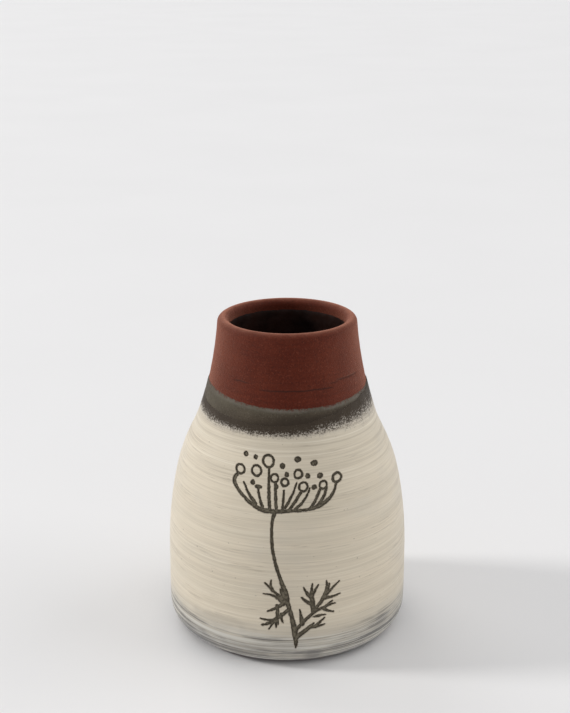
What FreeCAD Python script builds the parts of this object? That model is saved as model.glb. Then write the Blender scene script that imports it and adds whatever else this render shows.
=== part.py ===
"""Ceramic table vase: a thrown red clay body under two brushed coats, with a drawing cut through the outer.

Millimetres, +Z up. The origin is the centre of the foot ring, on the surface the vase stands on. The drawing
faces -Y. Four layers, each its own node: the clay body, the liner glaze inside it, the dark grey engobe on
its outside, and the white slip over the engobe. The drawing is cut right through the slip, so that the engobe
shows in it.
"""
import FreeCAD, Part
import math
import os
from FreeCAD import Vector

# Driving dimensions of the clay body.
HEIGHT = 150.0
BELLY_R = 55.9  # widest radius of the bare clay
BELLY_STRAIGHT = 24.7  # height of the upright part of the wall, above the corner
WALL = 5.4  # clay wall at the lip and down the side
FLOOR = 7.5  # height of the inside floor
CORNER_R = 10.0  # round corner between the side wall and the underside
CORNER_R_INSIDE = 13.0  # and the one between the inside wall and the floor
FOOT_R = 43.8  # outer edge of the flat ring that touches the table
FOOT_RING = 6.0  # width of that ring
FOOT_DROP = 0.8  # how far the ring stands below the underside
FOOT_RECESS = 2.2  # height of the turned recess inside the ring

# Above the upright part the outside wall is a chain of tangent arcs: (radius, degrees). The first two close
# in over the belly. The third, of negative radius, turns the other way, into the neck.
SHOULDER = [
    (190.0, 12.0),
    (90.0, 15.3),
    (-45.0, 9.4),
]
NECK_CURVE_R = 196.0  # the last arc, hollow like the third, runs on up to the lip

# Coats: how thick each is, how far round the lower corner it reaches (0 is the side, -90 the underside),
# and the height of its upper edge.
ENGOBE = 0.35
ENGOBE_LOW_DEG = -68.0
ENGOBE_TOP = 119.2
SLIP = 0.45
SLIP_LOW_DEG = -61.0
SLIP_TOP = 109.6
LINER = 0.4
LINER_TOP = HEIGHT - 4.4

# The drawing, seen from the front: x to the right and z up, in millimetres from the origin.
TIP = 0.5  # width at a tapered tip
CRUMB = 0.2  # carved-off specks of slip smaller than this volume, in cubic millimetres, fall away

STEM = [
    (-5.3, 75.6, 1.7),
    (-6.6, 71.5, 1.3),
    (-6.9, 65.0, 1.3),
    (-6.5, 58.5, 1.3),
    (-5.0, 51.5, 1.4),
    (-2.9, 44.5, 1.5),
    (-1.0, 38.5, 2.6),
    (0.3, 32.5, 2.0),
    (2.2, 25.5, 2.0),
    (3.3, 19.0, 2.5),
    (3.8, 14.5, 1.9),
    (3.8, 10.9, TIP),
]
# The line along the bottom of the flower head, from its left tip round to its right tip.
BOWL = [
    (-21.7, 90.0, 1.2),
    (-23.4, 87.2, 1.7),
    (-20.3, 82.0, 1.3),
    (-15.4, 78.0, 1.7),
    (-10.5, 76.0, 2.1),
    (-5.5, 75.7, 1.8),
    (2.0, 76.1, 1.3),
    (10.0, 76.5, 1.4),
    (15.2, 78.1, 1.8),
    (19.4, 81.2, 1.3),
    (21.4, 86.0, 1.2),
]
# Flower stalks: foot (x, z), top (x, z), sideways bow, width at the foot, width at the top.
STALKS = [
    ((-14.0, 78.6), (-19.1, 86.9), 0.5, 1.7, 0.7),
    ((-10.9, 77.2), (-12.8, 85.2), 0.3, 1.2, 1.0),
    ((-7.7, 76.0), (-7.9, 93.9), 0.3, 1.5, 0.9),
    ((-4.8, 76.2), (-5.1, 87.6), 0.2, 1.3, 1.1),
    ((-2.2, 76.4), (-1.5, 84.7), -0.1, 1.2, 0.7),
    ((-1.0, 77.4), (4.1, 87.9), -0.4, 1.2, 0.7),
    ((1.0, 76.8), (6.2, 84.4), -0.2, 1.3, 1.2),
    ((3.4, 76.8), (9.8, 85.3), -0.9, 1.3, 0.7),
    ((10.2, 76.9), (14.4, 84.6), -0.3, 1.4, 1.1),
    ((12.4, 77.2), (17.2, 85.0), -0.9, 1.5, 1.1),
]
# Open florets: centre (x, z), radius to the middle of the line, width of the line.
RINGS = [
    (-20.7, 91.9, 1.85, 0.85),
    (-13.5, 92.2, 2.05, 0.85),
    (-8.3, 96.4, 2.35, 0.95),
    (-5.6, 89.7, 1.65, 0.80),
    (-1.1, 88.1, 1.55, 0.90),
    (4.8, 91.4, 1.70, 0.85),
    (7.0, 86.1, 1.85, 0.85),
    (15.7, 86.2, 1.60, 0.80),
    (21.9, 88.3, 1.90, 1.00),
]
# Buds: centre (x, z), half width, half height.
BUDS = [
    (-18.2, 98.2, 1.05, 1.05),
    (-13.9, 97.6, 0.90, 0.95),
    (-2.1, 94.7, 1.15, 1.10),
    (-0.3, 91.3, 0.95, 1.05),
    (4.6, 97.2, 1.45, 1.20),
    (11.8, 95.4, 1.60, 1.10),
    (9.0, 90.4, 1.05, 1.10),
    (14.4, 90.1, 1.35, 1.10),
    (11.8, 85.7, 1.10, 1.05),
    (-15.2, 87.3, 1.00, 1.00),
    (-12.7, 85.7, 1.60, 0.90),
    (-4.7, 86.3, 0.90, 1.00),
]
# Leaf ribs and leaflets: root (x, z), tip (x, z), sideways bow, width at the root, width at the tip.
LEAVES_LEFT = [
    ((-1.2, 34.6), (-9.8, 42.9), 0.2, 1.9, 0.7),
    ((-6.6, 39.4), (-7.0, 44.5), 0.6, 1.7, 0.5),
    ((-2.0, 33.6), (-10.6, 37.5), -1.2, 1.9, TIP),
    ((-1.6, 36.0), (-3.2, 40.2), 0.0, 1.9, 0.7),
    ((-1.4, 33.4), (-8.9, 29.0), 0.4, 2.1, 0.8),
    ((0.6, 30.2), (-5.4, 25.2), 0.3, 1.5, 1.7),
    ((-4.6, 32.0), (-4.5, 26.5), 0.2, 1.5, 1.5),
    ((-5.2, 24.8), (-12.0, 25.1), 0.3, 1.7, 0.8),
    ((-5.2, 24.6), (-11.2, 22.0), 0.2, 1.9, 1.0),
    ((-5.6, 24.8), (-8.3, 20.1), 0.1, 1.6, TIP),
    ((-5.6, 25.0), (-4.9, 21.5), 0.1, 1.6, 0.9),
    ((-4.6, 26.4), (-4.1, 22.6), 0.1, 1.4, 0.6),
    ((-2.6, 28.0), (-1.9, 23.7), -0.4, 1.4, 0.7),
]
LEAVES_RIGHT = [
    ((3.6, 19.4), (12.4, 28.4), 0.5, 1.6, 1.5),
    ((12.0, 28.3), (21.5, 31.3), 0.5, 1.5, 0.7),
    ((6.7, 22.9), (5.5, 30.1), -0.1, 2.3, TIP),
    ((11.6, 28.2), (10.7, 36.2), -0.2, 1.9, 2.1),
    ((10.7, 35.6), (11.1, 42.3), 0.1, 2.0, 0.6),
    ((10.8, 35.4), (7.1, 41.0), 0.3, 2.1, TIP),
    ((10.8, 35.6), (13.9, 41.7), 0.2, 1.7, TIP),
    ((10.9, 32.2), (6.4, 35.8), 0.2, 1.9, 0.8),
    ((12.0, 29.0), (17.0, 36.2), -0.2, 1.5, 1.9),
    ((16.8, 35.6), (17.4, 42.9), -0.5, 2.3, TIP),
    ((17.2, 36.0), (18.8, 41.5), -0.2, 1.9, 0.6),
    ((17.2, 36.0), (23.3, 41.9), 0.1, 1.5, 0.6),
    ((16.2, 34.7), (23.6, 35.6), -0.4, 1.8, 0.6),
    ((17.0, 30.1), (20.1, 32.8), 0.0, 1.5, 0.6),
    ((15.8, 29.8), (20.7, 27.2), -0.4, 1.5, 0.7),
    ((3.7, 15.6), (10.4, 21.0), 0.3, 2.1, 1.9),
    ((10.0, 20.9), (16.6, 21.6), -0.3, 1.9, 0.7),
    ((9.8, 20.9), (11.9, 22.6), 0.1, 1.7, 0.8),
    ((12.8, 21.2), (16.8, 24.9), 0.1, 1.7, 0.6),
    ((14.2, 26.2), (11.6, 25.9), 0.0, 1.5, 0.7),
    ((14.2, 26.2), (17.0, 26.3), 0.1, 1.5, 0.6),
]

CUT_FROM_Y = -BELLY_R - 8.0  # the carving tool starts in front of the vase
CUT_DEPTH = 44.0  # and stops inside it, before the back wall


def point(r, z):
    """A point of an outline, in the half plane y = 0, x > 0."""
    return Vector(r, 0, z)


def line(a, b):
    return Part.LineSegment(point(*a), point(*b)).toShape()


def arc(centre, radius, start_deg, end_deg):
    """Arc of a circle about centre, between two angles measured from +X towards +Z."""
    ends = [point(*polar(centre, radius, a)) for a in (start_deg, (start_deg + end_deg) / 2, end_deg)]
    return Part.Arc(*ends).toShape()


def lathe(edges):
    """Solid of revolution about the Z axis of the area inside a closed chain of edges."""
    face = Part.Face(Part.Wire(Part.sortEdges(edges)[0]))
    solid = face.revolve(Vector(0, 0, 0), Vector(0, 0, 1), 360)
    solid.rotate(Vector(0, 0, 0), Vector(0, 0, 1), 90)  # turns the seam to the back
    return solid


def polar(centre, radius, degrees):
    angle = math.radians(degrees)
    return (centre[0] + radius * math.cos(angle), centre[1] + radius * math.sin(angle))


# Centres of the round corners at the bottom of the wall.
CORNER = (BELLY_R - CORNER_R, FOOT_DROP + CORNER_R)
CORNER_INSIDE = (BELLY_R - WALL - CORNER_R_INSIDE, FLOOR + CORNER_R_INSIDE)


def shoulder_arcs():
    """Centre, radius and end angles of each shoulder arc, then the centre and start angle of the last arc."""
    arcs = []
    end = (BELLY_R, CORNER[1] + BELLY_STRAIGHT)
    turned = 0.0
    for radius, degrees in SHOULDER:
        centre = polar(end, -radius, turned)
        after = turned + math.copysign(degrees, radius)
        arcs.append((centre, radius, turned, after))
        end = polar(centre, radius, after)
        turned = after
    return arcs, polar(end, NECK_CURVE_R, turned), turned


def neck_angle(growth, height):
    """How far the wall has turned in where it reaches a height on the last arc, moved outwards by growth."""
    _, centre, _ = shoulder_arcs()
    return math.degrees(math.asin((centre[1] - height) / (NECK_CURVE_R - growth)))


LIP_R = WALL / 2
LIP_ANGLE = neck_angle(-LIP_R, HEIGHT - LIP_R)  # where the wall ends and the lip begins


def side_wall(growth, low, last_angle):
    """Side wall, moved outwards by growth, from height low up to where it has turned in by last_angle."""
    arcs, centre, turned = shoulder_arcs()
    edges = [line((BELLY_R + growth, low), (BELLY_R + growth, CORNER[1] + BELLY_STRAIGHT))]
    for arc_centre, radius, start, end in arcs:
        edges.append(arc(arc_centre, radius + growth, start, end))
    edges.append(arc(centre, growth - NECK_CURVE_R, turned, last_angle))
    return edges


def on_neck(growth, angle):
    """Point of the last arc of the side wall, moved outwards by growth."""
    _, centre, _ = shoulder_arcs()
    return polar(centre, growth - NECK_CURVE_R, angle)


def clay_body():
    """The thrown body, its half-round lip and its turned foot ring, as one outline turned about the axis."""
    ring_in = FOOT_R - FOOT_RING
    foot = [
        line((CORNER[0], FOOT_DROP), (FOOT_R, 0)),
        line((FOOT_R, 0), (ring_in, 0)),
        line((ring_in, 0), (ring_in - FOOT_RECESS, FOOT_RECESS)),
        line((ring_in - FOOT_RECESS, FOOT_RECESS), (0, FOOT_RECESS)),
        line((0, FOOT_RECESS), (0, FLOOR)),
        line((0, FLOOR), (CORNER_INSIDE[0], FLOOR)),
    ]
    inside = [arc(CORNER_INSIDE, CORNER_R_INSIDE, -90, 0)] + side_wall(-WALL, CORNER_INSIDE[1], LIP_ANGLE)
    lip = [arc(on_neck(-LIP_R, LIP_ANGLE), LIP_R, LIP_ANGLE, LIP_ANGLE + 180)]
    outside = side_wall(0, CORNER[1], LIP_ANGLE) + [arc(CORNER, CORNER_R, 0, -90)]
    return lathe(foot + inside + lip + outside)


def liner_glaze():
    """Glaze on the inside wall and floor, from just below the lip down."""
    last_angle = neck_angle(-WALL, LINER_TOP)
    edges = []
    for growth in (0, LINER):
        edges += side_wall(-WALL - growth, CORNER_INSIDE[1], last_angle)
        edges.append(arc(CORNER_INSIDE, CORNER_R_INSIDE - growth, -90, 0))
        edges.append(line((0, FLOOR + growth), (CORNER_INSIDE[0], FLOOR + growth)))
    edges.append(line(on_neck(-WALL, last_angle), on_neck(-WALL - LINER, last_angle)))
    edges.append(line((0, FLOOR), (0, FLOOR + LINER)))
    return lathe(edges)


def coat(inner, outer, low_deg, top):
    """Layer over the outside, between two distances from the clay, from the lower corner up to height top."""
    last_angle = neck_angle(outer, top)
    edges = []
    for growth in (inner, outer):
        edges.append(arc(CORNER, CORNER_R + growth, low_deg, 0))
        edges += side_wall(growth, CORNER[1], last_angle)
    edges.append(line(polar(CORNER, CORNER_R + inner, low_deg), polar(CORNER, CORNER_R + outer, low_deg)))
    edges.append(line(on_neck(inner, last_angle), on_neck(outer, last_angle)))
    return lathe(edges)


def grey_engobe():
    """Dark coat on the clay, from the band under the bare neck down round the corner to the underside."""
    return coat(0, ENGOBE, ENGOBE_LOW_DEG, ENGOBE_TOP)


def front_point(x, z):
    return Vector(x, CUT_FROM_Y, z)


def stroke(points):
    """Face of a line drawn through (x, z, width) points, with round ends."""
    left, right = [], []
    for i, (x, z, width) in enumerate(points):
        before = points[max(i - 1, 0)]
        after = points[min(i + 1, len(points) - 1)]
        dx, dz = after[0] - before[0], after[1] - before[1]
        reach = width / 2 / math.hypot(dx, dz)
        left.append(front_point(x - dz * reach, z + dx * reach))
        right.append(front_point(x + dz * reach, z - dx * reach))
    sides = []
    for side in (left, right):
        curve = Part.BSplineCurve()
        curve.interpolate(side)
        sides.append(curve.toShape())
    caps = [cap(points[0], points[1], left[0], right[0]), cap(points[-1], points[-2], left[-1], right[-1])]
    return Part.Face(Part.Wire(Part.sortEdges(sides + caps)[0]))


def cap(end, inward, left, right):
    """Half-round end of a stroke, bulging away from the point inward."""
    dx, dz = end[0] - inward[0], end[1] - inward[1]
    reach = end[2] / 2 / math.hypot(dx, dz)
    return Part.Arc(left, front_point(end[0] + dx * reach, end[1] + dz * reach), right).toShape()


def blade(root, tip, bow, root_width, tip_width):
    """A stroke from root to tip that bows sideways, to the left of its direction where bow is positive."""
    dx, dz = tip[0] - root[0], tip[1] - root[1]
    length = math.hypot(dx, dz)
    middle = ((root[0] + tip[0]) / 2 - dz / length * bow, (root[1] + tip[1]) / 2 + dx / length * bow)
    return stroke([(*root, root_width), (*middle, (root_width + tip_width) / 2), (*tip, tip_width)])


def ring(x, z, radius, width):
    """Face between two circles about one centre."""
    wires = []
    for r in (radius + width / 2, radius - width / 2):
        wires.append(Part.Wire(Part.makeCircle(r, front_point(x, z), Vector(0, 1, 0))))
    return Part.makeFace(wires, "Part::FaceMakerBullseye")


def bud(x, z, half_width, half_height):
    """A solid oval spot."""
    across = front_point(x + half_width, z)
    up = front_point(x, z + half_height)
    ends = (across, up) if half_width >= half_height else (up, across)
    return Part.Face(Part.Wire(Part.Ellipse(*ends, front_point(x, z)).toShape()))


def carving():
    """What a carving tool sweeps for the whole drawing, straight in from the front."""
    faces = [stroke(STEM), stroke(BOWL)]
    faces += [blade(*values) for values in STALKS + LEAVES_LEFT + LEAVES_RIGHT]
    faces += [ring(*values) for values in RINGS]
    faces += [bud(*values) for values in BUDS]
    sweeps = [face.extrude(Vector(0, CUT_DEPTH, 0)) for face in faces]
    return sweeps[0].multiFuse(sweeps[1:]).removeSplitter()


def white_slip():
    """Pale coat over the engobe, with the drawing cut through it. What lines enclose stays, as islands."""
    carved = coat(ENGOBE, ENGOBE + SLIP, SLIP_LOW_DEG, SLIP_TOP).cut(carving())
    return Part.makeCompound([solid for solid in carved.Solids if solid.Volume > CRUMB])


def main():
    os.makedirs("parts", exist_ok=True)
    nodes = {
        "clay_body": clay_body(),
        "liner_glaze": liner_glaze(),
        "grey_engobe": grey_engobe(),
        "white_slip": white_slip(),
    }
    for name, shape in nodes.items():
        box = shape.optimalBoundingBox()
        print(f"{name}: {len(shape.Solids)} solids, valid {shape.isValid()}, {shape.Volume / 1000:.2f} cm3, "
              f"z {box.ZMin:.2f} to {box.ZMax:.2f}, x {box.XMin:.2f} to {box.XMax:.2f}")
        shape.exportStep(f"parts/{name}.step")


main()
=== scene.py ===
"""Looks of the ceramic vase: four detailed meshes that stand for the four CAD nodes, on a pale floor.

Shapes are worked out in millimetres and made in metres. Every surface is placed by three numbers: the angle
round the axis, with 0 at the front (-Y); the length along the clay's outline; and the height above the clay.
The outline and the carved drawing are read from the CAD nodes.
"""
import math

import bpy
import numpy as np
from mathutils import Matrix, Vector, noise
from mathutils.geometry import delaunay_2d_cdt
from mathutils.kdtree import KDTree


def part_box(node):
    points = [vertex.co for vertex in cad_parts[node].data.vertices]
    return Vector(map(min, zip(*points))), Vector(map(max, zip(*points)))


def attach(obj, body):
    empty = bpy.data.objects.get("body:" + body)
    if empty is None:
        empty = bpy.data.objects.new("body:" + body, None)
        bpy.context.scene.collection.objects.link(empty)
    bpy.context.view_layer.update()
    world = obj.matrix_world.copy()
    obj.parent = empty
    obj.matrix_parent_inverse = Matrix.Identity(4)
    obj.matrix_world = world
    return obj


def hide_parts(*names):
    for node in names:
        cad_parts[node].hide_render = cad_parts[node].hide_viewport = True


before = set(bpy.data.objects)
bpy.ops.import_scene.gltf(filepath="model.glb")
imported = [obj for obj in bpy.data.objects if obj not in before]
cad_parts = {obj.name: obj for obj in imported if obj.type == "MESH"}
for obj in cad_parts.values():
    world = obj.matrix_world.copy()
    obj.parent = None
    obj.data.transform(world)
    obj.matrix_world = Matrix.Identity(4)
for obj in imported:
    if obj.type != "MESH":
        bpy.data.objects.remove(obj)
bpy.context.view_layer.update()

MM = 0.001
TURN = 2 * math.pi


def smoothstep(low, high, value):
    """0 below low, 1 above high, and a smooth rise between."""
    t = np.clip((value - low) / (high - low), 0, 1)
    return t * t * (3 - 2 * t)


def grain(points, scale, seed):
    """Smooth noise from -1 to 1 at each row of points. scale is in waves per millimetre, for each axis."""
    moved = np.asarray(points).reshape(-1, 3) * scale + seed
    values = np.array([noise.noise(Vector(p)) for p in moved])
    return values.reshape(np.shape(points)[:-1])


def node_mesh(node):
    """Points, in millimetres, and triangles of a CAD node, with its doubled points joined."""
    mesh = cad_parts[node].data
    points = np.empty(len(mesh.vertices) * 3)
    mesh.vertices.foreach_get("co", points)
    corners = np.empty(len(mesh.loops), dtype=int)
    mesh.loops.foreach_get("vertex_index", corners)
    points, same = np.unique(np.round(points.reshape(-1, 3) / MM, 4), axis=0, return_inverse=True)
    return points, same.ravel()[corners].reshape(-1, 3)


def chains(links):
    """Lists of point numbers, each walking one chain or loop of a dictionary of neighbours."""
    left = set(links)
    found = []
    while left:
        ends = [p for p in left if len(links[p]) == 1]
        walk = [min(ends or left)]
        left.discard(walk[0])
        while True:
            onward = [p for p in links[walk[-1]] if p in left]
            if not onward:
                break
            walk.append(onward[0])
            left.discard(onward[0])
        found.append(walk)
    return found


def links_of(edges):
    """Dictionary of each point's neighbours, from pairs of point numbers."""
    links = {}
    for a, b in edges:
        links.setdefault(a, set()).add(b)
        links.setdefault(b, set()).add(a)
    return links


class Outline:
    """Outline of the clay in the half plane behind the axis, from the underside, up the outside and back in.

    r and z are the places of its points, s the length along it, and (nr, nz) the way out of the clay.
    """

    STEP = 0.1
    CORNER = math.radians(13)  # an arc's facets turn less than this, and the foot ring's edges more
    ON_PLANE = 1e-3
    UPRIGHT = 0.02  # the least share of the way out that is level, on a wall

    def __init__(self):
        points, triangles = node_mesh("clay_body")
        behind = (np.abs(points[:, 0]) < self.ON_PLANE) & (points[:, 1] > -self.ON_PLANE)
        edges = np.vstack([triangles[:, [0, 1]], triangles[:, [1, 2]], triangles[:, [2, 0]]])
        edges = edges[behind[edges].all(1)]
        walk = max(chains(links_of(edges)), key=len)
        rough = points[walk][:, 1:]
        if rough[0, 1] > rough[-1, 1]:
            rough = rough[::-1]
        rough = np.vstack([[0, rough[0, 1]], rough, [0, rough[-1, 1]]])
        self.r, self.z = self.smooth(rough).T
        along = np.hypot(np.diff(self.r), np.diff(self.z))
        self.s = np.concatenate([[0], np.cumsum(along)])
        dr = np.gradient(self.r, self.s)
        dz = np.gradient(self.z, self.s)
        length = np.hypot(dr, dz)
        self.nr = dz / length
        self.nz = -dr / length
        self.lip = int(np.argmax(self.z))

    def smooth(self, rough):
        """Rounded copy of a chain of points: a curve through them all, broken only at sharp corners."""
        step = np.diff(rough, axis=0)
        turn = np.abs(np.diff(np.unwrap(np.arctan2(step[:, 1], step[:, 0]))))
        breaks = [0] + [i + 1 for i in np.flatnonzero(turn > self.CORNER)] + [len(rough) - 1]
        curve = [rough[:1]]
        for first, last in zip(breaks, breaks[1:]):
            span = rough[first:last + 1]
            span = np.vstack([2 * span[0] - span[1], span, 2 * span[-1] - span[-2]])
            for i in range(1, len(span) - 2):
                curve.append(self.bend(*span[i - 1:i + 3]))
        return np.vstack(curve)

    def bend(self, before, start, end, after):
        """Points from start to end on a curve that also heeds the point before and the point after."""
        sides = ((before, start), (start, end), (end, after))
        knots = np.cumsum([0] + [math.dist(a, b) ** 0.5 for a, b in sides])
        count = max(2, round(math.dist(start, end) / self.STEP))
        t = np.linspace(knots[1], knots[2], count + 1)[1:, None]

        def between(a, b, low, high):
            return (a * (high - t) + b * (t - low)) / (high - low)

        k0, k1, k2, k3 = knots
        low = between(between(before, start, k0, k1), between(start, end, k1, k2), k0, k2)
        high = between(between(start, end, k1, k2), between(end, after, k2, k3), k1, k3)
        return between(low, high, k1, k2)

    def at(self, s, height):
        """Radius and z of points that far along the outline and that far above the clay."""
        r = np.interp(s, self.s, self.r) + height * np.interp(s, self.s, self.nr)
        z = np.interp(s, self.s, self.z) + height * np.interp(s, self.s, self.nz)
        return r, z

    def outside(self, z, height=0.0):
        """Length along the outline where the outside, raised by height, is at z."""
        wall = (self.s < self.s[self.lip]) & (self.nr > self.UPRIGHT)
        return np.interp(z, (self.z + height * self.nz)[wall], self.s[wall])

    def inside(self, z):
        """Length along the outline where the inside wall is at z."""
        wall = (self.s > self.s[self.lip]) & (self.nr < -self.UPRIGHT)
        return np.interp(z, self.z[wall][::-1], self.s[wall][::-1])


clay = Outline()

# Thicknesses of the coats and the heights of their edges, in millimetres, from the CAD nodes.
SIZES = {node: [np.array(corner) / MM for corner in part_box(node)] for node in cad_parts}
BELLY_R = SIZES["clay_body"][1][0]
ENGOBE = SIZES["grey_engobe"][1][0] - BELLY_R
SLIP = SIZES["white_slip"][1][0] - SIZES["grey_engobe"][1][0]
LINER = 0.4  # the liner lies inside, where no box shows its thickness
ENGOBE_Z = (SIZES["grey_engobe"][0][2], SIZES["grey_engobe"][1][2])
SLIP_Z = (SIZES["white_slip"][0][2], SIZES["white_slip"][1][2])
LINER_TOP = SIZES["liner_glaze"][1][2]


def around(theta, front, right, back, left):
    """Smooth value round the vase that is front, right, back and left at those four places."""
    mean = (front + right + back + left) / 4
    twice = (front - right + back - left) / 4
    depth = (front - back) / 2
    across = (right - left) / 2
    return mean + twice * np.cos(2 * theta) + depth * np.cos(theta) + across * np.sin(theta)


def ring_points(theta, z, radius=50.0):
    """Points on a plain cylinder round the axis, which noise is read at so that it closes round the vase."""
    theta, z = np.broadcast_arrays(theta, z)
    return np.stack([radius * np.sin(theta), -radius * np.cos(theta), z], -1)


# The thrown wall: how far it lies inside the true shape, in millimetres.
RING_PITCH = 6.5  # height of one turn of the fingers
RING_DEPTH = 0.07
SLACK = 0.09  # mean distance, and how much that varies
SLACK_SPREAD = 0.08
FLAT_SHOULDER = (95, 11, 0.42)  # on the right: height of the middle, half height and depth
FULL_BASE = (22, 14, 0.9)  # on the right: height of the middle, half height and share of the fall lost


def hump(value, middle, half_width):
    """1 at middle, falling smoothly to 0 on both sides."""
    return np.exp(-((value - middle) / half_width) ** 2)


def hand_shape(theta, z):
    """Height of the thrown wall over the true shape, never above 0: slow unevenness and finger rings."""
    at = ring_points(theta, z)
    slow = grain(at, (0.012, 0.012, 0.02), 3.1)
    wander = 2.0 * grain(at, (0.02, 0.02, 0.05), 7.7)
    spiral = 0.5 - 0.5 * np.sin(TURN * (z / RING_PITCH + theta / TURN) + wander)
    rings = RING_DEPTH * spiral * (0.6 + 0.4 * grain(at, (0.01, 0.01, 0.08), 11.3))
    fall = (SLACK + SLACK_SPREAD * slow + rings) * (1 - 0.5 * smoothstep(100, 125, z))
    right = np.maximum(0, np.sin(theta)) ** 2
    fall = fall * (1 - FULL_BASE[2] * right * hump(z, *FULL_BASE[:2]))
    fall = fall + FLAT_SHOULDER[2] * right * hump(z, *FLAT_SHOULDER[:2])
    return -fall * (0.25 + 0.75 * smoothstep(12.0, 34.0, z)) * smoothstep(1.0, 5.0, z)


def build(name, points, faces, material, node, fields=()):
    """A piece that rides on the vase, takes a slot's finish and stands for a CAD node.

    fields are named values at the points, which its material reads.
    """
    mesh = bpy.data.meshes.new(name)
    mesh.from_pydata((np.asarray(points) * MM).tolist(), [], faces)
    mesh.shade_smooth()
    for field, values in dict(fields).items():
        stored = mesh.attributes.new(field, "FLOAT", "POINT")
        stored.data.foreach_set("value", np.asarray(values, dtype=np.float32))
    mesh.materials.append(material)
    piece = bpy.data.objects.new(name, mesh)
    bpy.context.scene.collection.objects.link(piece)
    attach(piece, "root")
    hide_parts(node)
    return piece


PLAIN_EDGE = 3  # the drawing keeps this far from the slip's upper and lower edges


def carved_loops():
    """Closed outlines of the carved lines, as (x, z) rows, read from the CAD slip.

    The walls of the cuts run parallel to Y. Their outer borders are the edges that only one wall face has.
    """
    points, triangles = node_mesh("white_slip")
    a, b, c = points[triangles].transpose(1, 0, 2)
    normal = np.cross(b - a, c - a)
    size = np.linalg.norm(normal, axis=1)
    middle = (a + b + c) / 3
    wall = (np.abs(normal[:, 1]) < 0.3 * size) & (middle[:, 1] < -BELLY_R / 2)
    wall &= (middle[:, 2] > SLIP_Z[0] + PLAIN_EDGE) & (middle[:, 2] < SLIP_Z[1] - PLAIN_EDGE)
    walls = triangles[wall]
    edges = np.sort(np.vstack([walls[:, [0, 1]], walls[:, [1, 2]], walls[:, [2, 0]]]), axis=1)
    edges, count = np.unique(edges, axis=0, return_counts=True)
    s = clay.outside(points[:, 2], ENGOBE + SLIP / 2)
    middle_r, _ = clay.at(s, ENGOBE + SLIP / 2)
    outer = np.hypot(points[:, 0], points[:, 1]) > middle_r
    border = edges[(count == 1) & outer[edges].all(1)]
    return [points[walk][:, [0, 2]] for walk in chains(links_of(border)) if len(walk) > 5]


# The drawing, in unrolled coordinates: u round the vase at UNROLL_R, and s along the outline.
UNROLL_R = 50.0
HALF_TURN = math.pi * UNROLL_R
LOOP_STEP = 0.25
FAR = 3.0  # distances from a cut are not worked out past this
FRAY = 0.05  # how far each side of a cut is worn back
UNSTEADY = 0.30  # how far each side of a cut strays
SAME_PLACE = 1e-7  # points closer than this are one point in a tiling


def unrolled(loop):
    """(u, s) rows of a loop of (x, z) rows on the front of the slip, evenly spaced."""
    closed = np.vstack([loop, loop[:1]])
    along = np.concatenate([[0], np.cumsum(np.hypot(*np.diff(closed, axis=0).T))])
    places = np.arange(0, along[-1] - LOOP_STEP / 2, LOOP_STEP)
    x, z = (np.interp(places, along, axis) for axis in closed.T)
    s = clay.outside(z, ENGOBE + SLIP)
    r, _ = clay.at(s, ENGOBE + SLIP)
    return np.stack([np.arcsin(x / r) * UNROLL_R, s], -1)


def loop_edges(loops):
    """Pairs of point numbers along loops whose points are numbered one loop after another."""
    edges = []
    base = 0
    for loop in loops:
        edges += [(base + i, base + (i + 1) % len(loop)) for i in range(len(loop))]
        base += len(loop)
    return edges


def crossed(loops):
    """Places where outlines cross."""
    corners = [Vector(p) for p in np.vstack(loops)]
    found = delaunay_2d_cdt(corners, loop_edges(loops), [], 0, SAME_PLACE, True)
    return [np.array(place) for place, ids in zip(found[0], found[3]) if not ids]


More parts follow.
